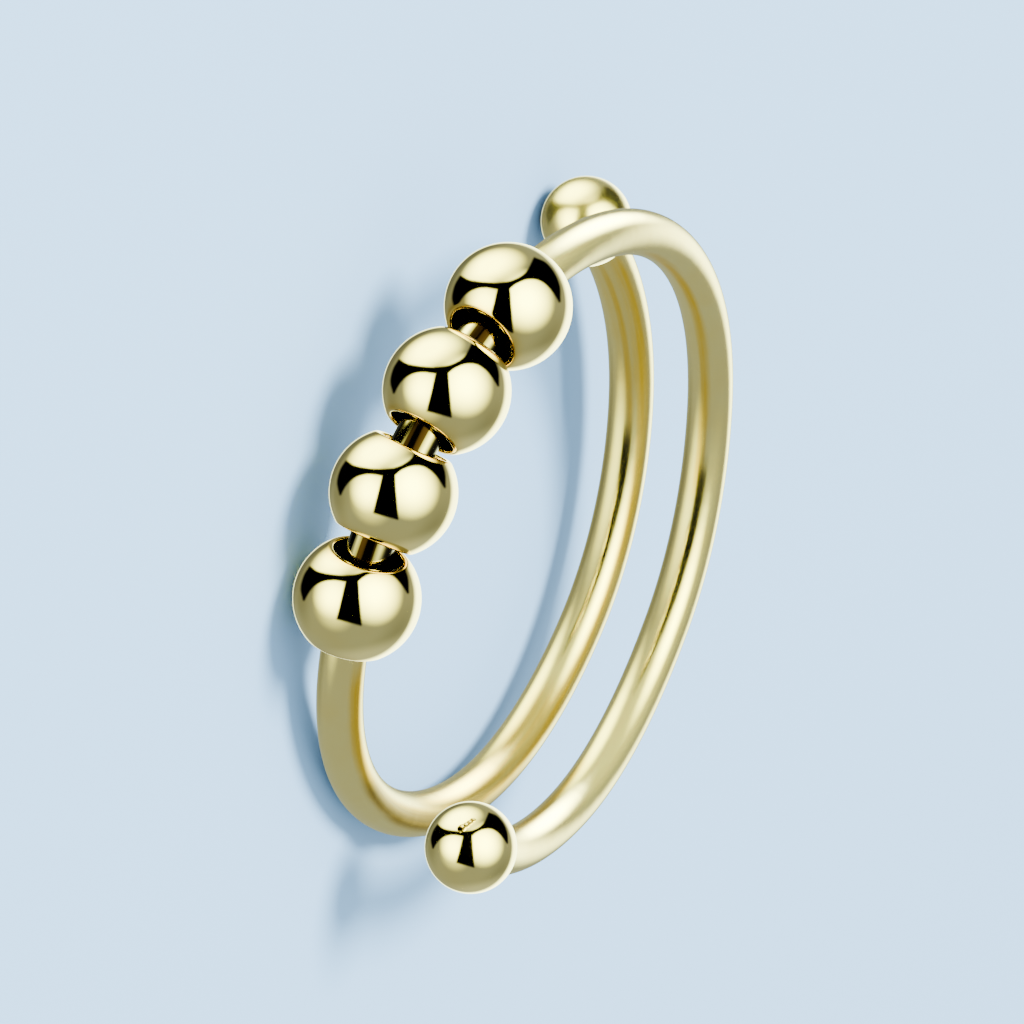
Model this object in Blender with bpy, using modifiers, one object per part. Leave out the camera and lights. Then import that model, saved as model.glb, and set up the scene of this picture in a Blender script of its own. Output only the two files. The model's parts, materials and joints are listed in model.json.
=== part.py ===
"""Spinner ring: an open coil of springy wire with a ball on each end, and a row of
drilled beads on the wire's middle, each free to turn on it. It lies as it rests."""

import math
from collections import namedtuple

import bmesh
import bpy
import numpy as np
from mathutils import Vector

MM = 0.001

# Wire
INSIDE_DIAMETER = 17.8 * MM     # the finger hole
WIRE_DIAMETER = 1.41 * MM
WRAP_ANGLE = 528.5              # degrees of wire from ball to ball
END_SPREAD = 7.65 * MM          # from one ball to the other, along the finger
END_BALL_DIAMETER = 2.8 * MM

# Beads
BEAD_COUNT = 4
BEAD_DIAMETER = 3.82 * MM
BORE_CLEARANCE = 0.355 * MM     # between wire and bore, all round
LIP_WIDTH = 0.14 * MM           # flat face round each end of the bore
BEAD_GAP = 0.05 * MM            # between neighbours, where their lips come closest
ROW_ANGLE = -2.5                # degrees from the wire's middle to the row's middle

# Fineness of the round shapes
WIRE_SEGMENTS = 96
WIRE_BEVEL_RESOLUTION = 3
BALL_SEGMENTS = 16
BALL_RINGS = 12
BEAD_SIDES = 16
BEAD_ARC_STEPS = 12
WELD_DISTANCE = 0.001 * MM

# The wire's course: how far along it, from -1 at the lower ball to +1 at the upper one,
# its height as a share of END_SPREAD, and its radius as a share of the ring's
Station = namedtuple("Station", "along height radius")
WIRE_STATIONS = [
    Station(-6 / 6, -0.526, 0.972),
    Station(-5 / 6, -0.319, 0.988),
    Station(-4 / 6, -0.100, 0.996),
    Station(-3 / 6, 0.050, 1.000),
    Station(-2 / 6, 0.050, 0.997),
    Station(-1 / 6, 0.016, 1.000),
    Station(0 / 6, -0.038, 0.998),
    Station(1 / 6, -0.090, 0.999),
    Station(2 / 6, -0.071, 1.001),
    Station(3 / 6, 0.029, 1.001),
    Station(4 / 6, 0.224, 0.992),
    Station(5 / 6, 0.406, 0.983),
    Station(6 / 6, 0.474, 0.967),
]

ring_radius = (INSIDE_DIAMETER + WIRE_DIAMETER) / 2
wire_radius = WIRE_DIAMETER / 2
ball_radius = END_BALL_DIAMETER / 2
bead_radius = BEAD_DIAMETER / 2
bore_radius = wire_radius + BORE_CLEARANCE
lip_radius = bore_radius + LIP_WIDTH
bead_half_length = math.sqrt(bead_radius**2 - lip_radius**2)
# A bead hangs in by the wire's bow along it, so that the bore's ends clear the wire
bead_drop = bead_half_length**2 / (2 * ring_radius)


def smooth_share(along, column):
    """Reads a column of the wire's stations on a smooth curve through its rows."""
    places = np.array([station.along for station in WIRE_STATIONS])
    values = np.array([getattr(station, column) for station in WIRE_STATIONS])
    slopes = np.gradient(values, places, edge_order=2)
    row = int(np.clip(np.searchsorted(places, along) - 1, 0, len(places) - 2))
    span = places[row + 1] - places[row]
    t = (along - places[row]) / span
    ease = t * t * (3 - 2 * t)
    value = values[row] * (1 - ease) + values[row + 1] * ease
    value += slopes[row] * span * t * (1 - t) ** 2
    value -= slopes[row + 1] * span * t * t * (1 - t)
    return float(value)


def wire_point(angle):
    """Point of the wire's centreline, at an angle in degrees from the wire's middle.

    The ring's own frame has the finger along Z and the wire's middle at -Y. Seen
    from +Z the wire climbs clockwise, which makes it a left-handed coil.
    """
    along = 2 * angle / WRAP_ANGLE
    radius = ring_radius * smooth_share(along, "radius")
    turn = math.radians(-90 - angle)
    height = END_SPREAD * smooth_share(along, "height")
    return Vector((radius * math.cos(turn), radius * math.sin(turn), height))


def wire_direction(angle):
    """Unit tangent of the wire, towards the upper ball."""
    step = 0.5
    return (wire_point(angle + step) - wire_point(angle - step)).normalized()


def bead_angles():
    """Angles of the beads, from the top of the row down, BEAD_GAP apart at their lips."""
    reach = ring_radius - bead_drop - lip_radius
    half_pitch = math.atan2(bead_half_length, reach)
    half_pitch += math.asin(BEAD_GAP / 2 / math.hypot(reach, bead_half_length))
    pitch = math.degrees(2 * half_pitch)
    return [ROW_ANGLE + pitch * ((BEAD_COUNT - 1) / 2 - i) for i in range(BEAD_COUNT)]


def bead_centre(angle):
    """Centre of a bead: the wire's point, moved in towards the ring's axis."""
    point = wire_point(angle)
    inward = Vector((-point.x, -point.y, 0)).normalized()
    return point + inward * bead_drop


def metal(name, colour, roughness):
    """Polished metal of one colour."""
    material = bpy.data.materials.new(name)
    material.use_nodes = True
    shader = material.node_tree.nodes["Principled BSDF"]
    shader.inputs["Base Color"].default_value = (*colour, 1)
    shader.inputs["Metallic"].default_value = 1
    shader.inputs["Roughness"].default_value = roughness
    return material


def add_piece(name, mesh, parts, frame):
    """Makes a piece of the ring from a mesh, carried by the ring's frame."""
    piece = bpy.data.objects.new(name, mesh)
    parts.objects.link(piece)
    piece.parent = frame
    return piece


def align_to_wire(piece, angle):
    """Turns a piece's Z axis along the wire at an angle."""
    piece.rotation_euler = wire_direction(angle).to_track_quat("Z", "Y").to_euler()


def wire_mesh():
    """Round wire along the whole course, with its flat ends closed."""
    curve = bpy.data.curves.new("wire_course", "CURVE")
    curve.dimensions = "3D"
    curve.bevel_depth = wire_radius
    curve.bevel_resolution = WIRE_BEVEL_RESOLUTION
    curve.use_fill_caps = True
    spline = curve.splines.new("POLY")
    spline.points.add(WIRE_SEGMENTS)
    for i, point in enumerate(spline.points):
        angle = WRAP_ANGLE * (i / WIRE_SEGMENTS - 0.5)
        point.co = (*wire_point(angle), 1)

    guide = bpy.data.objects.new("wire_course", curve)
    bpy.context.scene.collection.objects.link(guide)
    bpy.context.view_layer.update()
    evaluated = guide.evaluated_get(bpy.context.evaluated_depsgraph_get())
    mesh = bpy.data.meshes.new_from_object(evaluated)
    bpy.data.objects.remove(guide)

    weld = bmesh.new()
    weld.from_mesh(mesh)
    bmesh.ops.remove_doubles(weld, verts=weld.verts, dist=WELD_DISTANCE)
    weld.to_mesh(mesh)
    weld.free()
    return mesh


def end_ball(name, angle, tools, frame):
    """Solid ball on a wire end, its poles on the wire's line."""
    bpy.ops.mesh.primitive_uv_sphere_add(
        segments=BALL_SEGMENTS, ring_count=BALL_RINGS, radius=ball_radius
    )
    ball = bpy.context.object
    ball.name = name
    for collection in list(ball.users_collection):
        collection.objects.unlink(ball)
    tools.objects.link(ball)
    ball.parent = frame
    ball.location = wire_point(angle)
    align_to_wire(ball, angle)
    ball.hide_render = True
    ball.display_type = "WIRE"
    return ball


def make_wire(parts, tools, frame, material):
    """The ring's wire with its two end balls, all one solid."""
    wire = add_piece("ring_wire", wire_mesh(), parts, frame)
    wire.data.materials.append(material)
    for name, end in (("lower_ball", -WRAP_ANGLE / 2), ("upper_ball", WRAP_ANGLE / 2)):
        ball = end_ball(name, end, tools, frame)
        ball.data.materials.append(material)
        union = wire.modifiers.new(name, "BOOLEAN")
        union.operation = "UNION"
        union.object = ball


def bead_mesh():
    """Closed section of a drilled bead at +X, to be turned about its bore along Z."""
    half_angle = math.asin(bead_half_length / bead_radius)
    section = []
    for i in range(BEAD_ARC_STEPS + 1):
        latitude = half_angle * (1 - 2 * i / BEAD_ARC_STEPS)
        section.append((bead_radius * math.cos(latitude), bead_radius * math.sin(latitude)))
    section.append((bore_radius, -bead_half_length))
    section.append((bore_radius, bead_half_length))

    points = [(x, 0, z) for x, z in section]
    edges = [(i, (i + 1) % len(points)) for i in range(len(points))]
    mesh = bpy.data.meshes.new("bead")
    mesh.from_pydata(points, edges, [])
    return mesh


def make_beads(parts, frame, material):
    """Beads from the top of the row down, each origin and Z axis on its own bore."""
    mesh = bead_mesh()
    mesh.materials.append(material)
    for number, angle in enumerate(bead_angles(), start=1):
        bead = add_piece(f"bead_{number}", mesh, parts, frame)
        bead.location = bead_centre(angle)
        align_to_wire(bead, angle)
        turn = bead.modifiers.new("turn", "SCREW")
        turn.steps = BEAD_SIDES
        turn.render_steps = BEAD_SIDES
        turn.use_merge_vertices = True
        turn.merge_threshold = WELD_DISTANCE
        turn.use_smooth_shade = True


def plane_under(spheres):
    """Upward normal of the plane that three (centre, radius) spheres stand on."""
    (first, first_radius), *others = spheres
    spans = [centre - first for centre, _ in others]
    climbs = [radius - first_radius for _, radius in others]
    across = spans[0].cross(spans[1]).normalized()
    if across.z < 0:
        across.negate()
    lean, *_ = np.linalg.lstsq(np.array(spans), np.array(climbs), rcond=None)
    lean = Vector(lean)
    return lean + across * math.sqrt(1 - lean.length_squared)


def resting_turn():
    """Turn that lays the ring on its lower ball, its lowest bead and its wire."""
    last_bead = bead_angles()[-1]
    ball = (wire_point(-WRAP_ANGLE / 2), ball_radius)
    bead = (bead_centre(last_bead), bead_radius)
    # The half turn of wire that leaves the lowest bead for the lower ball
    stretch = [wire_point(last_bead - angle) for angle in range(180)]
    up = Vector((0, 0, 1))
    for _ in range(20):
        lowest = min(stretch, key=up.dot)
        up = plane_under([ball, bead, (lowest, wire_radius)])
    return up.rotation_difference(Vector((0, 0, 1)))


def set_on_surface(frame, parts):
    """Moves the ring so that its box's bottom centre is the origin."""
    bpy.context.view_layer.update()
    depsgraph = bpy.context.evaluated_depsgraph_get()
    corners = []
    for piece in parts.objects:
        evaluated = piece.evaluated_get(depsgraph)
        mesh = evaluated.to_mesh()
        corners += [evaluated.matrix_world @ vertex.co for vertex in mesh.vertices]
        evaluated.to_mesh_clear()
    low = np.min(corners, axis=0)
    high = np.max(corners, axis=0)
    frame.location -= Vector(((low[0] + high[0]) / 2, (low[1] + high[1]) / 2, low[2]))


def main():
    for old in list(bpy.data.objects):
        bpy.data.objects.remove(old)
    parts = bpy.data.collections.new("spinner_ring")
    tools = bpy.data.collections.new("spinner_ring_tools")
    for collection in (parts, tools):
        bpy.context.scene.collection.children.link(collection)

    frame = bpy.data.objects.new("ring_frame", None)
    bpy.context.scene.collection.objects.link(frame)
    frame.rotation_euler = resting_turn().to_euler()

    make_wire(parts, tools, frame, metal("pale_gold_wire", (0.83, 0.74, 0.45), 0.10))
    make_beads(parts, frame, metal("pale_gold_beads", (0.85, 0.77, 0.50), 0.06))
    set_on_surface(frame, parts)


main()
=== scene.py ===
"""Looks of the spinner ring: satin wire, polished end balls and polished drilled beads,
all of pale gold, lying on a pale floor under two soft studio domes."""

import json
import math
from collections import namedtuple

import bmesh
import bpy
import numpy as np
from mathutils import Matrix, Quaternion, Vector


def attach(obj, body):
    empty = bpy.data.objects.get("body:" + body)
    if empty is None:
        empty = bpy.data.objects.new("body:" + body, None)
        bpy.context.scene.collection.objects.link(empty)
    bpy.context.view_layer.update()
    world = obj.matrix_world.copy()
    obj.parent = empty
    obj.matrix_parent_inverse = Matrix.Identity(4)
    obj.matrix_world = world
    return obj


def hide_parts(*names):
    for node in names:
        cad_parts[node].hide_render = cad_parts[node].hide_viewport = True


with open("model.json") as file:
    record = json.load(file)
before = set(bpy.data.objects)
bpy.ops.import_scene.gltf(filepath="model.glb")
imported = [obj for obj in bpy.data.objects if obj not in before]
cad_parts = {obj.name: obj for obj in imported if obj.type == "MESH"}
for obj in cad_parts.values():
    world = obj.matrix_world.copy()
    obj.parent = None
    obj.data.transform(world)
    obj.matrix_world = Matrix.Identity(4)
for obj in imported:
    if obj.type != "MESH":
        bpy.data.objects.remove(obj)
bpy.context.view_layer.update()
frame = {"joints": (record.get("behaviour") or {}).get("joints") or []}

MM = 0.001
NO_LENGTH = 1e-6                # stands in for a length of 0 under a division

# The ring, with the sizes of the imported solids
INSIDE_DIAMETER = 17.8 * MM
WIRE_DIAMETER = 1.41 * MM
WRAP_ANGLE = 528.5              # degrees of wire from ball to ball
END_SPREAD = 7.65 * MM          # from one ball to the other, along the finger
END_BALL_DIAMETER = 2.8 * MM
BEAD_DIAMETER = 3.82 * MM
BORE_CLEARANCE = 0.355 * MM
LIP_WIDTH = 0.14 * MM
BEAD_GAP = 0.05 * MM
ROW_ANGLE = -2.5                # degrees from the wire's middle to the row's middle

# Fine shapes that only the eye needs
SOLDER_FILLET = 0.10 * MM       # radius of the solder between a ball and the wire
BALL_FOOT = 0.98                # radius where a ball ends inside the wire, in shares of the wire's
BALL_LEAD = 2                   # degrees of wire that a ball's axis follows
LIP_ROUNDING = 0.05 * MM        # rounding of a lip's outer edge
BORE_ROUNDING = 0.06 * MM       # rounding of its inner edge
WIRE_STEP = 0.7                 # degrees of the coil between sections of the wire
WIRE_SIDES = 48
TURNED_SIDES = 112
ARC_STEPS = 72
EDGE_STEPS = 6
DOME_RINGS = 200
DOME_SIDES = 420

# The photograph's camera
CAMERA_AIM = Vector((-0.21, 0.23, 2.42)) * MM
CAMERA_AZIMUTH = 13.56
CAMERA_ELEVATION = 23.50
CAMERA_ROLL = 101.99
CAMERA_DISTANCE = 288.8 * MM
CAMERA_LENS = 334.1             # millimetres
CAMERA_SENSOR = 36              # millimetres across

# The wire's course: how far along it, from -1 at the lower ball to +1 at the upper one,
# its height as a share of END_SPREAD, and its radius as a share of the ring's
Station = namedtuple("Station", "along height radius")
WIRE_STATIONS = [
    Station(-6 / 6, -0.526, 0.972),
    Station(-5 / 6, -0.319, 0.988),
    Station(-4 / 6, -0.100, 0.996),
    Station(-3 / 6, 0.050, 1.000),
    Station(-2 / 6, 0.050, 0.997),
    Station(-1 / 6, 0.016, 1.000),
    Station(0 / 6, -0.038, 0.998),
    Station(1 / 6, -0.090, 0.999),
    Station(2 / 6, -0.071, 1.001),
    Station(3 / 6, 0.029, 1.001),
    Station(4 / 6, 0.224, 0.992),
    Station(5 / 6, 0.406, 0.983),
    Station(6 / 6, 0.474, 0.967),
]

# Tones of the plate: clean; deep gold, for the clouds in its tone and for painted reflections of gold in
# gold;
# near black, for painted shade in the bores and between the beads, and for the solder's tarnish
PALE_GOLD = (0.89, 0.77, 0.39)
DEEP_GOLD = (0.93, 0.57, 0.02)
TARNISH_AND_SHADE = (0.009, 0.0045, 0.002)

# Its surface. Warmth goes from pale to deep gold and the darkening from there to dark, each from 0 to 1
# and painted on the meshes: the warmth holds painted reflections of gold in gold and the solder's
# warmth, the darkening painted shade in the bores, between the beads and on the dull reflection lines,
# and the solder's tarnish.
CLOUD_WARMTH = 0.12             # the most that the clouds in its tone add
SPECKLE = (0.65, 1.15)          # factors by which its patches weaken or deepen a painted reflection line
TARNISH_AND_SHADE_ROUGHNESS = 0.1         # added to the roughness where the darkening of tarnish and painted shade is full
MARK_HEIGHT = 0.0006            # of the polishing marks, in millimetres
SOLDER_REACH = 0.25 * MM        # from the joint, where the solder's wear falls to about a third
SOLDER_WARMTH = 0.8
SOLDER_TARNISH = 0.25
# At a bead's lips, where it faces the next bead: its warmth is a painted reflection of gold in gold, its
# darkening painted shade
LIP_WARMTH = 0.8
LIP_PAINTED_SHADE = 0.35
BORE_MOUTH = (0.02 * MM, 0.2 * MM)  # depths between which a bore turns dark with painted shade
NECK_STREAKS = 5                # bright streaks round the wire between the beads, clear of its painted shade
NECK_STREAK_SHINE = 0.9         # share of the painted shade that they are free of

# Lights are placed as a round bead mirrors them to the photograph's camera: how far right
# and up on its disc, in shares of its radius. Size is the angle to half strength and
# softness half the angle of the fade, both in degrees. A negative strength takes light away.
Softbox = namedtuple("Softbox", "right up size softness strength tint")
CREAM = (1.0, 1.09, 0.30)
WHITE = (1.0, 1.12, 0.60)
HAZE = (0.85, 0.94, 0.66)       # the pale surroundings, as pale gold mirrors them

BEAD_DOME_RADIUS = 2.0
BEAD_HAZE = 0.52
BEAD_SOFTBOXES = [
    Softbox(-0.28, 0.64, 30, 20, 13, CREAM),
    Softbox(0.29, 0.09, 33, 29, 17, CREAM),
    Softbox(-0.38, 0.06, 24, 20, 12, CREAM),
    Softbox(-0.36, -0.15, 24, 22, 2.5, CREAM),
    Softbox(0.97, -0.17, 30, 10, 8, WHITE),
    Softbox(0.20, -0.88, 24, 16, 0.35, HAZE),
    Softbox(0.62, -0.52, 22, 22, -0.16, HAZE),
    Softbox(-0.86, 0.05, 22, 16, -0.18, HAZE),
    Softbox(-0.66, 0.72, 22, 12, -0.30, HAZE),
]

WIRE_DOME_RADIUS = 1.9
WIRE_HAZE = 0.58
WIRE_SOFTBOXES = [
    Softbox(0.48, 0.70, 18, 15, 28, WHITE),
    Softbox(0.32, 0.03, 20, 19, 16, CREAM),
    Softbox(-0.28, 0.68, 22, 16, 9, CREAM),
    Softbox(-0.47, -0.12, 26, 20, 3.2, CREAM),
    Softbox(0.25, 0.25, 60, 30, 0.9, CREAM),
    Softbox(0.94, 0.05, 18, 13, 7, WHITE),
    Softbox(-0.88, 0.12, 20, 16, -0.30, HAZE),
]

# Outlines of the black flags between the lights, in the same measures: for the beads a Y
# with long horns, and for the wire a plain stem
TOP_EDGE = [
    (-0.73, 0.47), (-0.58, 0.39), (-0.32, 0.35), (-0.12, 0.345),
    (0.08, 0.385), (0.28, 0.51), (0.40, 0.74),
]
RIGHT_HORN = [(0.40, 0.74), (0.56, 0.67), (0.69, 0.52), (0.775, 0.32), (0.79, 0.09)]
RIGHT_ARC = [
    (0.79, 0.09), (0.70, 0.23), (0.59, 0.345), (0.45, 0.42),
    (0.28, 0.42), (0.11, 0.35), (0.01, 0.27),
]
STEM = [(0.01, 0.27), (0.06, -0.40), (-0.29, -0.305), (-0.15, 0.27)]
LEFT_ARC = [
    (-0.15, 0.27), (-0.36, 0.295), (-0.525, 0.27),
    (-0.66, 0.20), (-0.755, 0.09), (-0.815, -0.02),
]
LEFT_HORN = [(-0.815, -0.02), (-0.85, 0.15), (-0.81, 0.33), (-0.73, 0.47)]
BEAD_FLAG_BLUR = 0.022
WIRE_FLAG = [(-0.05, 0.36), (0.05, -0.29), (-0.23, -0.27), (-0.11, 0.36)]
WIRE_FLAG_BLUR = 0.05

# The rest of the studio, in metres and watts
FLOOR_REACH = 3.0               # from its middle to each side
FLOOR_COLOUR = (0.33, 0.61, 0.92)
FLOOR_ROUGHNESS = 0.6
BACKGROUND_COLOUR = (0.82, 0.93, 1)
BACKGROUND_STRENGTH = 1.8
KEY_PLACE = (-0.25, -0.12, 0.45)
KEY_SIZE = 0.22
KEY_POWER = 9.0

# Lines of deeper gold along the wire, painted reflections of the other strand, which their dulling
# darkens with painted shade:
# places as (angle of the coil, turn about the wire), in degrees, with turn 0 outwards, then half their
# width, how deep their tone is and how dull
PaintedReflection = namedtuple("PaintedReflection", "places width depth dulling")
PAINTED_REFLECTIONS = [
    PaintedReflection([(-262, -112), (-205, -114), (-160, -121), (-125, -112), (-101, -110)], 18, 0.85, 0.05),
    PaintedReflection([(-134, -104), (-101, -106), (-84, -98), (-70, -87)], 24, 1.0, 0.80),
    PaintedReflection([(-150, -82), (-119, -84), (-101, -91), (-84, -88)], 20, 0.9, 0.6),
    PaintedReflection([(-96, -105), (-84, -98), (-66, -84), (-40, -76)], 20, 1.0, 0.10),
    PaintedReflection([(-262, -154), (-235, -154), (-208, -150)], 10, 0.8, 0.1),
    PaintedReflection([(-262, -135), (-215, -140)], 50, 0.35, 0.05),
    PaintedReflection([(-165, -150), (-100, -150)], 45, 0.6, 0.30),
    PaintedReflection([(68, -130), (92, -150), (115, -155), (138, -164), (156, -168)], 12, 0.85, 0.1),
    PaintedReflection([(206, -210), (225, -208), (242, -192), (256, -185)], 14, 0.85, 0.3),
]
LINE_END_FADE = 12              # degrees of the coil
LINE_SIDE_FADE = (0.3, 1.4)     # shares of a line's half width between which it fades

ring_radius = (INSIDE_DIAMETER + WIRE_DIAMETER) / 2
wire_radius = WIRE_DIAMETER / 2
ball_radius = END_BALL_DIAMETER / 2
bead_radius = BEAD_DIAMETER / 2
bore_radius = wire_radius + BORE_CLEARANCE
lip_radius = bore_radius + LIP_WIDTH
bead_half_length = math.sqrt(bead_radius**2 - lip_radius**2)
bead_drop = bead_half_length**2 / (2 * ring_radius)


# The ring's own frame, with the finger along Z

def smooth_share(along, column):
    """Reads a column of the wire's stations on a smooth curve through its rows."""
    places = np.array([station.along for station in WIRE_STATIONS])
    values = np.array([getattr(station, column) for station in WIRE_STATIONS])
    slopes = np.gradient(values, places, edge_order=2)
    row = int(np.clip(np.searchsorted(places, along) - 1, 0, len(places) - 2))
    span = places[row + 1] - places[row]
    t = (along - places[row]) / span
    ease = t * t * (3 - 2 * t)
    value = values[row] * (1 - ease) + values[row + 1] * ease
    value += slopes[row] * span * t * (1 - t) ** 2
    value -= slopes[row + 1] * span * t * t * (1 - t)
    return float(value)


def wire_point(angle):
    """Point of the wire's centreline, at an angle in degrees from the wire's middle."""
    along = 2 * angle / WRAP_ANGLE
    radius = ring_radius * smooth_share(along, "radius")
    turn = math.radians(-90 - angle)
    height = END_SPREAD * smooth_share(along, "height")
    return Vector((radius * math.cos(turn), radius * math.sin(turn), height))


def bead_angles():
    """Angles of the beads, from the top of the row down."""
    count = len(frame["joints"])
    reach = ring_radius - bead_drop - lip_radius
    half_pitch = math.atan2(bead_half_length, reach)
    half_pitch += math.asin(BEAD_GAP / 2 / math.hypot(reach, bead_half_length))
    pitch = math.degrees(2 * half_pitch)
    return [ROW_ANGLE + pitch * ((count - 1) / 2 - i) for i in range(count)]


def bead_centre(angle):
    """Centre of a bead: the wire's point, moved in towards the ring's axis."""
    point = wire_point(angle)
    return point + Vector((-point.x, -point.y, 0)).normalized() * bead_drop


def ring_placement():
    """Matrix that lays the ring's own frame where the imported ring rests.

    It is the rigid move that takes the beads' centres to their joints' points.
    """
    own = np.array([bead_centre(angle) for angle in bead_angles()])
    packed = np.array([joint["pos_m"] for joint in frame["joints"]])
    left, _, right = np.linalg.svd((own - own.mean(0)).T @ (packed - packed.mean(0)))
    side = np.sign(np.linalg.det(right.T @ left.T))
    turn = right.T @ np.diag((1, 1, side)) @ left.T
    shift = packed.mean(0) - turn @ own.mean(0)
    return Matrix.Translation(Vector(shift)) @ Matrix(turn.tolist()).to_4x4()


def fade(value, low, high):
    """Smooth step from 0 at low to 1 at high."""
    t = np.clip((value - low) / (high - low), 0, 1)
    return t * t * (3 - 2 * t)


# Meshes

def skin(name, rings, poles=(), cyclic=False, **attributes):
    """Skin over rings of points, with an attribute for each array of vectors on them.

    rings is an array of sections by sides by 3. poles holds the two end points that
    close it, or nothing where the last ring joins the first.
    """
    sections, sides, _ = rings.shape
    around = np.arange(sides)
    beside = (around + 1) % sides
    faces = []
    for i in range(sections if cyclic else sections - 1):
        here = i * sides
        there = (i + 1) % sections * sides
        faces += np.stack([here + around, here + beside, there + beside, there + around], 1).tolist()
    points = rings.reshape(-1, 3).tolist()
    for pole, ring in zip(poles, (0, sections - 1)):
        fan = np.stack([ring * sides + beside, ring * sides + around, np.full(sides, len(points))], 1)
        faces += (fan if ring == 0 else fan[:, [1, 0, 2]]).tolist()
        points.append(list(pole))

    mesh = bpy.data.meshes.new(name)
    mesh.from_pydata(points, [], faces)
    mesh.shade_smooth()
    for attribute, values in attributes.items():
        marks = values.reshape(-1, 3)
        if poles:
            marks = np.concatenate([marks, values[:1].mean(1), values[-1:].mean(1)])
        mesh.attributes.new(attribute, "FLOAT_VECTOR", "POINT").data.foreach_set("vector", marks.ravel())
    return mesh


def turned(name, section, wear, cyclic=False):
    """Skin of a section of (radius, height) points, turned about Z.

    Its third argument holds each point's (warmth, tarnish and painted shade, 0), with painted
    reflections among the warmth.
    """
    section = np.array(section)
    wear = np.array(wear)
    turn = np.arange(TURNED_SIDES) * 2 * math.pi / TURNED_SIDES
    inner = section if cyclic else section[1:-1]
    rows_of_wear_and_light = wear if cyclic else wear[1:-1]
    rings = np.empty((len(inner), TURNED_SIDES, 3))
    rings[..., 0] = inner[:, :1] * np.cos(turn)
    rings[..., 1] = inner[:, :1] * np.sin(turn)
    rings[..., 2] = inner[:, 1:]
    poles = () if cyclic else ((0, 0, section[0, 1]), (0, 0, section[-1, 1]))
    rings_of_wear_and_light = np.repeat(rows_of_wear_and_light[:, None], TURNED_SIDES, 1)
    return skin(name, rings, poles, cyclic, grain=rings / MM, wear=rings_of_wear_and_light)


def add_piece(mesh, body, node, material):
    """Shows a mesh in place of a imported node, riding on its body."""
    mesh.materials.append(material)
    piece = bpy.data.objects.new(mesh.name, mesh)
    bpy.context.scene.collection.objects.link(piece)
    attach(piece, body)
    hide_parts(node)
    return piece


def along_axis(place, axis):
    """Matrix that takes Z onto an axis through a place."""
    return Matrix.Translation(place) @ Vector(axis).to_track_quat("Z", "Y").to_matrix().to_4x4()


def line_wear(angles, turn):
    """Warmth and darkening of the painted reflection lines at angles along the coil and turns about the
    wire.
    """
    core, rim = LINE_SIDE_FADE
    warmth = np.zeros((len(angles), len(turn)))
    tarnish_and_shade = np.zeros_like(warmth)
    for line in PAINTED_REFLECTIONS:
        places = np.array(line.places, float)
        middle = np.interp(angles, places[:, 0], places[:, 1])
        aside = np.abs((turn - middle[:, None] + 180) % 360 - 180)
        start, end = places[0, 0], places[-1, 0]
        share = fade(angles, start, start + LINE_END_FADE)
        share *= 1 - fade(angles, end - LINE_END_FADE, end)
        share = share[:, None] * (1 - fade(aside, core * line.width, rim * line.width))
        warmth = np.maximum(warmth, line.depth * share)
        tarnish_and_shade = np.maximum(tarnish_and_shade, line.dulling * share)
    return warmth, tarnish_and_shade


def wire_piece(name, start, end, placement, material, tarnish_and_shade=0):
    """Round wire between two angles, where it ends inside a ball or a bead.

    Its last argument darkens and dulls it with painted shade, but for a few bright streaks along it.
    """
    angles = np.linspace(start, end, round((end - start) / WIRE_STEP))
    centres = np.array([wire_point(angle) for angle in angles])
    tangents = np.gradient(centres, axis=0)
    tangents /= np.linalg.norm(tangents, axis=1)[:, None]
    out = np.cross(tangents, (0, 0, -1))
    out /= np.linalg.norm(out, axis=1)[:, None]
    rise = np.cross(out, tangents)
    turn = np.arange(WIRE_SIDES) * 2 * math.pi / WIRE_SIDES
    spokes = out[:, None] * np.cos(turn)[None, :, None] + rise[:, None] * np.sin(turn)[None, :, None]
    rings = centres[:, None] + spokes * wire_radius

    lengths = np.concatenate([[0], np.cumsum(np.linalg.norm(np.diff(centres, axis=0), axis=1))])
    grain = np.empty(rings.shape)
    grain[..., 0] = lengths[:, None] / MM
    grain[..., 1] = np.cos(turn) * wire_radius / MM
    grain[..., 2] = np.sin(turn) * wire_radius / MM
    wear = np.zeros(rings.shape)
    # painted reflections of the other strand, with painted shade where they are dull
    wear[..., 0], wear[..., 1] = line_wear(angles, np.degrees(turn))
    # painted shade on the wire between the beads, but for bright streaks
    streaks = np.clip(np.sin(NECK_STREAKS * turn), 0, 1) ** 3
    wear[..., 1] += tarnish_and_shade * (1 - NECK_STREAK_SHINE * streaks)

    mesh = skin(name, rings, (centres[0], centres[-1]), grain=grain, wear=wear)
    mesh.transform(placement)
    return add_piece(mesh, "ring", "ring_wire", material)


def arc_point(centre, radius, angle):
    """Point of a section on a circle, at an angle in radians from the way up its axis."""
    return (centre[0] + radius * math.sin(angle), centre[1] + radius * math.cos(angle))


def end_ball_section():
    """Ball from its pole to the wire, with a fillet of solder, closed inside the wire."""
    reach = ball_radius + SOLDER_FILLET
    start = math.asin((wire_radius + SOLDER_FILLET) / reach)
    section = []
    for i in range(ARC_STEPS):
        angle = math.pi - (math.pi - start) * i / ARC_STEPS
        section.append(arc_point((0, 0), ball_radius, angle))
    fillet_centre = (wire_radius + SOLDER_FILLET, reach * math.cos(start))
    for i in range(EDGE_STEPS + 1):
        angle = math.pi + start + (math.pi / 2 - start) * i / EDGE_STEPS
        section.append(arc_point(fillet_centre, SOLDER_FILLET, angle))
    end = section[-1][1] + SOLDER_FILLET
    return section + [(wire_radius * BALL_FOOT, end), (0, end)]


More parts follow.
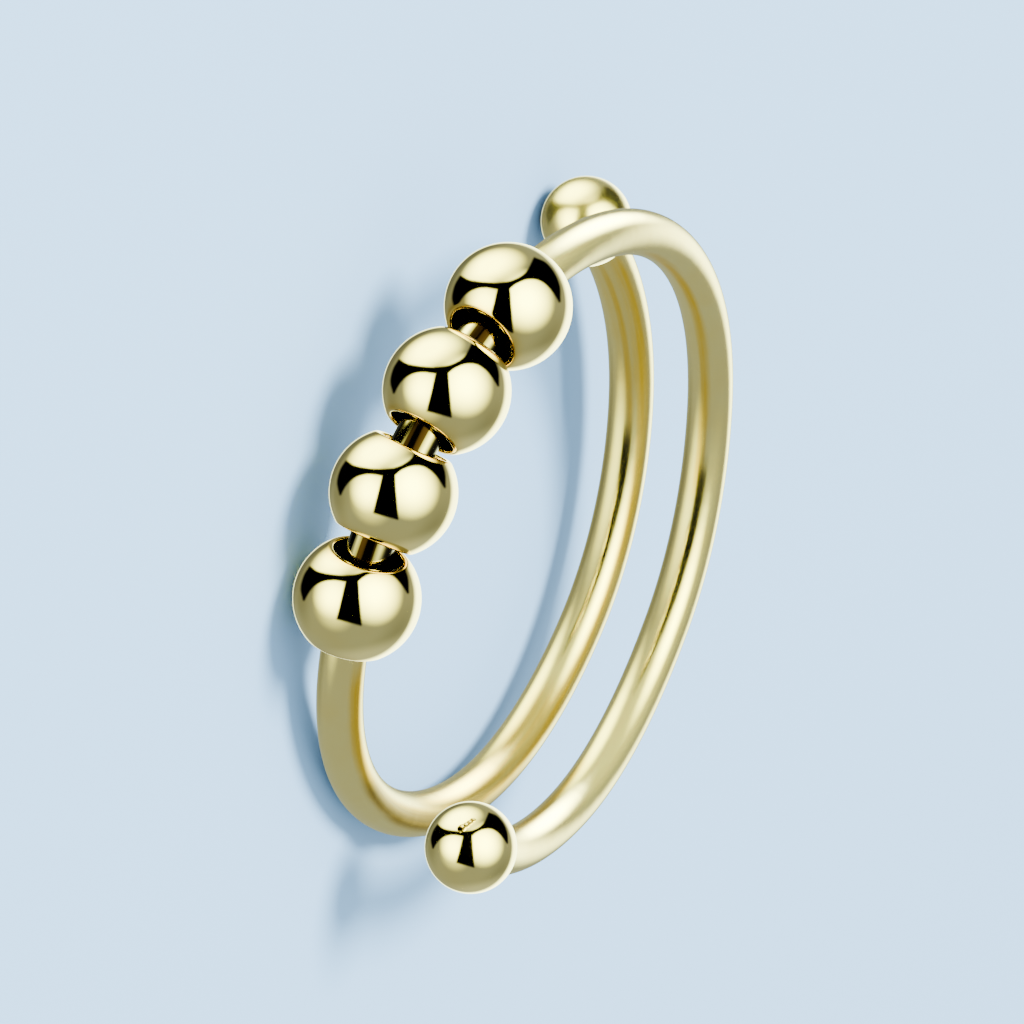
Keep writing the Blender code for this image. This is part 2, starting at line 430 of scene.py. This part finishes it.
def solder_wear(section):
    """The solder is a little warmer and duller than the ball."""
    joint = np.array((wire_radius, ball_radius))
    near = [math.exp(-math.dist(point, joint) / SOLDER_REACH) for point in section]
    return [(SOLDER_WARMTH * share, SOLDER_TARNISH * share, 0) for share in near]


def end_ball_piece(name, end_angle, placement, material):
    """Polished ball on one end of the wire."""
    centre = wire_point(end_angle)
    inward = wire_point(end_angle - math.copysign(BALL_LEAD, end_angle)) - centre
    section = end_ball_section()
    mesh = turned(name, section, solder_wear(section))
    mesh.transform(placement @ along_axis(centre, inward))
    return add_piece(mesh, "ring", "ring_wire", material)


def rounded_corner(start, corner, end):
    """Points of a soft corner between two points."""
    points = []
    for i in range(EDGE_STEPS + 1):
        t = i / EDGE_STEPS
        weights = ((1 - t) ** 2, 2 * t * (1 - t), t * t)
        points.append(tuple(np.dot(weights, (start, corner, end))))
    return points


def bead_section():
    """Closed section of a bead: down its round side and back up its bore."""
    edge_radius = lip_radius + LIP_ROUNDING
    top = math.acos(edge_radius / bead_radius)
    arc_end = (edge_radius, bead_radius * math.sin(top))
    half = []
    for i in range(ARC_STEPS // 2):
        latitude = top * i / (ARC_STEPS // 2)
        half.append((bead_radius * math.cos(latitude), bead_radius * math.sin(latitude)))
    half += rounded_corner(
        arc_end,
        (lip_radius, bead_half_length),
        (lip_radius - LIP_ROUNDING, bead_half_length),
    )
    half += rounded_corner(
        (bore_radius + BORE_ROUNDING, bead_half_length),
        (bore_radius, bead_half_length),
        (bore_radius, bead_half_length - BORE_ROUNDING),
    )
    half += [(bore_radius, bead_half_length * share) for share in (0.75, 0.5, 0.25, 0)]
    lower = [(x, -z) for x, z in half[1:-1]]
    return half[::-1] + lower


def bore_wear(section):
    """A bead is warmer and a little dull at its lips, with a painted reflection of the next bead and
    painted shade there, and it is dark with painted shade in its bore.
    """
    wear = []
    for radius, height in section:
        from_lip = math.hypot(radius - lip_radius, abs(height) - bead_half_length)
        lip = math.exp(-from_lip / LIP_WIDTH)
        # painted shade in the bore, full from a little way in
        inside = fade(bead_half_length - abs(height), *BORE_MOUTH) if radius < lip_radius else 0
        wear.append((LIP_WARMTH * lip, max(inside, LIP_PAINTED_SHADE * lip), 0))
    return wear


def bead_piece(name, joint, material):
    """Drilled bead on its joint's axis."""
    section = bead_section()
    mesh = turned(name + "_polished", section, bore_wear(section), cyclic=True)
    mesh.transform(along_axis(Vector(joint["pos_m"]), joint["axis"]))
    return add_piece(mesh, joint["child"], name, material)


# Materials

def node(tree, kind, **inputs):
    """Adds a shader node and sets or links its inputs by name, with _ for a space."""
    made = tree.nodes.new(kind)
    for name, value in inputs.items():
        socket = made.inputs[name.replace("_", " ")]
        if isinstance(value, bpy.types.NodeSocket):
            tree.links.new(value, socket)
        else:
            socket.default_value = value
    return made


def painted(tree, attribute):
    """Socket with the vector painted on a mesh as an attribute."""
    made = tree.nodes.new("ShaderNodeAttribute")
    made.attribute_name = attribute
    return made.outputs["Vector"]


def mapped(tree, value, source, target):
    """Maps a value from a source range to a target range."""
    made = node(
        tree,
        "ShaderNodeMapRange",
        Value=value,
        From_Min=source[0],
        From_Max=source[1],
        To_Min=target[0],
        To_Max=target[1],
    )
    return made.outputs["Result"]


def blend(tree, operation, *values):
    """Works out an operation on values, each a number or a socket, in a Math node."""
    made = tree.nodes.new("ShaderNodeMath")
    made.operation = operation
    for socket, value in zip(made.inputs, values):
        if isinstance(value, bpy.types.NodeSocket):
            tree.links.new(value, socket)
        else:
            socket.default_value = value
    return made.outputs[0]


def mixed(tree, factor, first, second):
    """Mixes two colours, each a tuple or a socket."""
    made = tree.nodes.new("ShaderNodeMix")
    made.data_type = "RGBA"
    tree.links.new(factor, made.inputs["Factor"])
    for name, value in (("A", first), ("B", second)):
        socket = next(socket for socket in made.inputs if socket.name == name and socket.type == "RGBA")
        if isinstance(value, bpy.types.NodeSocket):
            tree.links.new(value, socket)
        else:
            socket.default_value = value
    return next(socket for socket in made.outputs if socket.type == "RGBA")


def noise(tree, place, scale, detail, roughness=0.5):
    """Soft random pattern at a place, from 0 to 1 and mostly near 0.5."""
    made = node(
        tree,
        "ShaderNodeTexNoise",
        Vector=place,
        Scale=scale,
        Detail=detail,
        Roughness=roughness,
    )
    return made.outputs["Fac"]


def gold(name, gloss, dulling, marks, waviness):
    """Pale gold plate: cloudy in tone, with polishing marks along its grain, and with the painted
    reflections and painted shade on its meshes.

    gloss is the roughness of the clean surface and dulling what the marks add to it.
    marks scales the marks along the grain's three directions, and waviness is the
    height of the surface's slow waves in millimetres.
    """
    material = bpy.data.materials.new(name)
    material.use_nodes = True
    tree = material.node_tree
    shader = tree.nodes["Principled BSDF"]
    shader.inputs["Metallic"].default_value = 1
    grain = painted(tree, "grain")
    wear = node(tree, "ShaderNodeSeparateXYZ", Vector=painted(tree, "wear"))
    painted_warmth = wear.outputs["X"]
    tarnish_and_shade = wear.outputs["Y"]
    stretched = node(tree, "ShaderNodeMapping", Vector=grain, Scale=marks).outputs["Vector"]

    scratches = noise(tree, stretched, scale=1.0, detail=6.0, roughness=0.7)
    rough = mapped(tree, scratches, source=(0.35, 0.75), target=(gloss, gloss + dulling))
    duller = blend(tree, "MULTIPLY_ADD", tarnish_and_shade, TARNISH_AND_SHADE_ROUGHNESS, rough)
    tree.links.new(duller, shader.inputs["Roughness"])

    clouds = noise(tree, grain, scale=0.9, detail=4.0)
    tone = mapped(tree, clouds, source=(0.35, 0.7), target=(0, CLOUD_WARMTH))
    speckle = noise(tree, stretched, scale=0.8, detail=3.0)
    patches = mapped(tree, speckle, source=(0.35, 0.65), target=SPECKLE)
    warmth = blend(tree, "MULTIPLY_ADD", painted_warmth, patches, tone)
    clean = mixed(tree, warmth, (*PALE_GOLD, 1), (*DEEP_GOLD, 1))
    # darker by the painted shade and by the solder's tarnish
    colour = mixed(tree, tarnish_and_shade, clean, (*TARNISH_AND_SHADE, 1))
    tree.links.new(colour, shader.inputs["Base Color"])

    waves = noise(tree, grain, scale=1.3, detail=1.0)
    fine = blend(tree, "MULTIPLY", scratches, MARK_HEIGHT)
    height = blend(tree, "MULTIPLY_ADD", waves, waviness, fine)
    bump = node(tree, "ShaderNodeBump", Height=height, Strength=1.0, Distance=MM)
    tree.links.new(bump.outputs["Normal"], shader.inputs["Normal"])
    return material


def plain(name, colour, roughness):
    """Matt material of one colour, for the floor."""
    material = bpy.data.materials.new(name)
    material.use_nodes = True
    shader = material.node_tree.nodes["Principled BSDF"]
    shader.inputs["Base Color"].default_value = (*colour, 1)
    shader.inputs["Roughness"].default_value = roughness
    return material


# Studio

def camera_turn():
    """The photograph's camera: its X to the picture's right, Y up and Z towards it."""
    azimuth = math.radians(CAMERA_AZIMUTH)
    elevation = math.radians(CAMERA_ELEVATION)
    back = Vector(
        (
            math.sin(azimuth) * math.cos(elevation),
            -math.cos(azimuth) * math.cos(elevation),
            math.sin(elevation),
        )
    )
    return back.to_track_quat("Z", "Y") @ Quaternion((0, 0, 1), math.radians(CAMERA_ROLL))


def add_camera(turn):
    """Camera that sees the ring as the photograph's does."""
    camera = bpy.data.objects.new("photo_camera", bpy.data.cameras.new("photo_camera"))
    bpy.context.scene.collection.objects.link(camera)
    camera.data.lens = CAMERA_LENS
    camera.data.sensor_width = CAMERA_SENSOR
    camera.data.clip_start = 0.01
    camera.data.clip_end = 10
    camera.location = CAMERA_AIM + turn @ Vector((0, 0, CAMERA_DISTANCE))
    camera.rotation_mode = "QUATERNION"
    camera.rotation_quaternion = turn
    bpy.context.scene.camera = camera


def stage_object(name, mesh, material):
    """Adds an object of the studio."""
    mesh.materials.append(material)
    thing = bpy.data.objects.new(name, mesh)
    bpy.context.scene.collection.objects.link(thing)
    return thing


def add_floor():
    """Plain floor that the ring lies on, and that nothing polished mirrors."""
    mesh = bpy.data.meshes.new("floor")
    shape = bmesh.new()
    bmesh.ops.create_grid(shape, x_segments=1, y_segments=1, size=FLOOR_REACH)
    shape.to_mesh(mesh)
    shape.free()
    floor = stage_object("floor", mesh, plain("floor_paint", FLOOR_COLOUR, FLOOR_ROUGHNESS))
    floor.visible_glossy = False


def smooth_edge(points, steps=8):
    """Smooth curve through a few points, without its last one."""
    points = np.array(points, float)
    slopes = np.gradient(points, axis=0)
    edge = []
    for i in range(len(points) - 1):
        for k in range(steps):
            t = k / steps
            ease = t * t * (3 - 2 * t)
            point = points[i] * (1 - ease) + points[i + 1] * ease
            point += slopes[i] * t * (1 - t) ** 2 - slopes[i + 1] * t * t * (1 - t)
            edge.append(point)
    return edge


def bead_flag():
    """Outline of the flags that the beads and balls mirror."""
    outline = smooth_edge(TOP_EDGE) + smooth_edge(RIGHT_HORN) + smooth_edge(RIGHT_ARC)
    outline += [np.array(point) for point in STEM[:-1]]
    outline += smooth_edge(LEFT_ARC) + smooth_edge(LEFT_HORN)
    return np.array(outline)


def lit_share(discs, outline, blur):
    """How much light passes a flag at points of the bead's disc: 0 behind it, 1 beside it."""
    nearest = np.full(len(discs), np.inf)
    inside = np.zeros(len(discs), bool)
    for start, end in zip(outline, np.roll(outline, -1, axis=0)):
        run = end - start
        t = np.clip((discs - start) @ run / (run @ run), 0, 1)
        nearest = np.minimum(nearest, np.linalg.norm(discs - start - t[:, None] * run, axis=1))
        crosses = (start[1] > discs[:, 1]) != (end[1] > discs[:, 1])
        if start[1] != end[1]:
            at = start[0] + (discs[:, 1] - start[1]) / (end[1] - start[1]) * run[0]
            inside ^= crosses & (discs[:, 0] < at)
    return np.where(inside, 0, fade(nearest, 0, 2 * blur))


def mirrored_direction(right, up):
    """Direction that a round bead shows the camera at a place on its disc."""
    towards = math.sqrt(1 - right**2 - up**2)
    return np.array((2 * towards * right, 2 * towards * up, 2 * towards**2 - 1))


def light_on(directions, haze, softboxes, outline, blur):
    """Colour of the dome in each direction."""
    light = np.full((len(directions), 3), HAZE) * haze
    for box in softboxes:
        away = np.degrees(np.arccos(np.clip(directions @ mirrored_direction(box.right, box.up), -1, 1)))
        share = 1 - fade(away, box.size - box.softness, box.size + box.softness)
        light += (box.strength * share)[:, None] * np.array(box.tint)
    discs = directions + (0, 0, 1)
    lengths = np.linalg.norm(discs, axis=1)
    discs = discs[:, :2] / np.maximum(lengths, NO_LENGTH)[:, None]
    return np.maximum(light, 0) * lit_share(discs, outline, blur)[:, None]


def glow(name):
    """Clear material that adds the light painted on its mesh, without caustics."""
    material = bpy.data.materials.new(name)
    material.use_nodes = True
    tree = material.node_tree
    tree.nodes.clear()
    path = tree.nodes.new("ShaderNodeLightPath")
    # 0 for a ray that a matt surface has scattered, and 1 for the others
    direct = blend(tree, "LESS_THAN", path.outputs["Diffuse Depth"], 0.5)
    light = node(tree, "ShaderNodeEmission", Color=painted(tree, "light"), Strength=direct)
    clear = tree.nodes.new("ShaderNodeBsdfTransparent")
    both = tree.nodes.new("ShaderNodeAddShader")
    tree.links.new(light.outputs[0], both.inputs[0])
    tree.links.new(clear.outputs[0], both.inputs[1])
    out = tree.nodes.new("ShaderNodeOutputMaterial")
    tree.links.new(both.outputs[0], out.inputs["Surface"])
    material.cycles.emission_sampling = "NONE"
    return material


def add_dome(name, radius, turn, pieces, **painting):
    """Dome of soft light that only the given pieces mirror."""
    reach = np.arange(1, DOME_RINGS) / DOME_RINGS
    bearing = np.arange(DOME_SIDES) * 2 * math.pi / DOME_SIDES
    across = 2 * reach * np.sqrt(1 - reach**2)
    rings = np.empty((len(reach), DOME_SIDES, 3))
    rings[..., 0] = across[:, None] * np.cos(bearing)
    rings[..., 1] = across[:, None] * np.sin(bearing)
    rings[..., 2] = 1 - 2 * reach[:, None] ** 2
    light = light_on(rings.reshape(-1, 3), **painting).reshape(rings.shape)
    mesh = skin(name, rings * radius, ((0, 0, radius), (0, 0, -radius)), light=light)

    dome = stage_object(name, mesh, glow(name + "_light"))
    dome.rotation_mode = "QUATERNION"
    dome.rotation_quaternion = turn
    dome.location = CAMERA_AIM
    dome.visible_camera = False
    dome.visible_diffuse = False
    dome.visible_transmission = False
    dome.visible_shadow = False
    lit = bpy.data.collections.new(name + "_lit")
    for piece in pieces:
        lit.objects.link(piece)
    dome.light_linking.receiver_collection = lit


def add_softlight(name, place, size, power):
    """Large soft lamp over the floor, aimed at the ring and not mirrored in it."""
    data = bpy.data.lights.new(name, "AREA")
    data.shape = "DISK"
    data.size = size
    data.energy = power
    lamp = bpy.data.objects.new(name, data)
    bpy.context.scene.collection.objects.link(lamp)
    lamp.location = place
    lamp.rotation_euler = Vector(place).to_track_quat("Z", "Y").to_euler()
    lamp.visible_glossy = False


def add_world():
    """Pale light from all round, which nothing polished mirrors."""
    world = bpy.data.worlds.new("studio")
    bpy.context.scene.world = world
    world.use_nodes = True
    background = world.node_tree.nodes["Background"]
    background.inputs["Color"].default_value = (*BACKGROUND_COLOUR, 1)
    background.inputs["Strength"].default_value = BACKGROUND_STRENGTH
    world.cycles_visibility.glossy = False


def main():
    placement = ring_placement()
    satin = gold("pale_gold_satin", gloss=0.11, dulling=0.12, marks=(0.3, 8, 8), waviness=0.006)
    bright = gold("pale_gold_bright", gloss=0.02, dulling=0.02, marks=(3, 3, 9), waviness=0.002)
    clear = gold("pale_gold_clear", gloss=0.05, dulling=0.03, marks=(3, 3, 9), waviness=0.001)
    soft = gold("pale_gold_soft", gloss=0.20, dulling=0.05, marks=(3, 3, 9), waviness=0.003)
    half = WRAP_ANGLE / 2
    first, *_, last = bead_angles()
    strands = [
        wire_piece("wire_below_the_beads", -half, last, placement, satin),
        wire_piece("wire_above_the_beads", first, half, placement, satin),
    ]
    balls = [
        end_ball_piece("lower_ball_polished", -half, placement, soft),
        end_ball_piece("upper_ball_polished", half, placement, clear),
    ]
    # The photograph's beads and balls mirror no wire, and its strands hardly each other
    for piece in strands + balls:
        piece.visible_glossy = False
    # The wire between and inside the beads is fully painted with shade, dark but for bright streaks
    row = [wire_piece("wire_in_the_beads", last, first, placement, bright, tarnish_and_shade=1)]
    for joint in frame["joints"]:
        row.append(bead_piece(joint["child"].removesuffix("_body"), joint, bright))

    turn = camera_turn()
    add_camera(turn)
    add_floor()
    add_dome(
        "bead_dome",
        BEAD_DOME_RADIUS,
        turn,
        balls + row,
        haze=BEAD_HAZE,
        softboxes=BEAD_SOFTBOXES,
        outline=bead_flag(),
        blur=BEAD_FLAG_BLUR,
    )
    add_dome(
        "wire_dome",
        WIRE_DOME_RADIUS,
        turn,
        strands,
        haze=WIRE_HAZE,
        softboxes=WIRE_SOFTBOXES,
        outline=np.array(WIRE_FLAG),
        blur=WIRE_FLAG_BLUR,
    )
    add_world()
    add_softlight("key", KEY_PLACE, KEY_SIZE, KEY_POWER)


main()
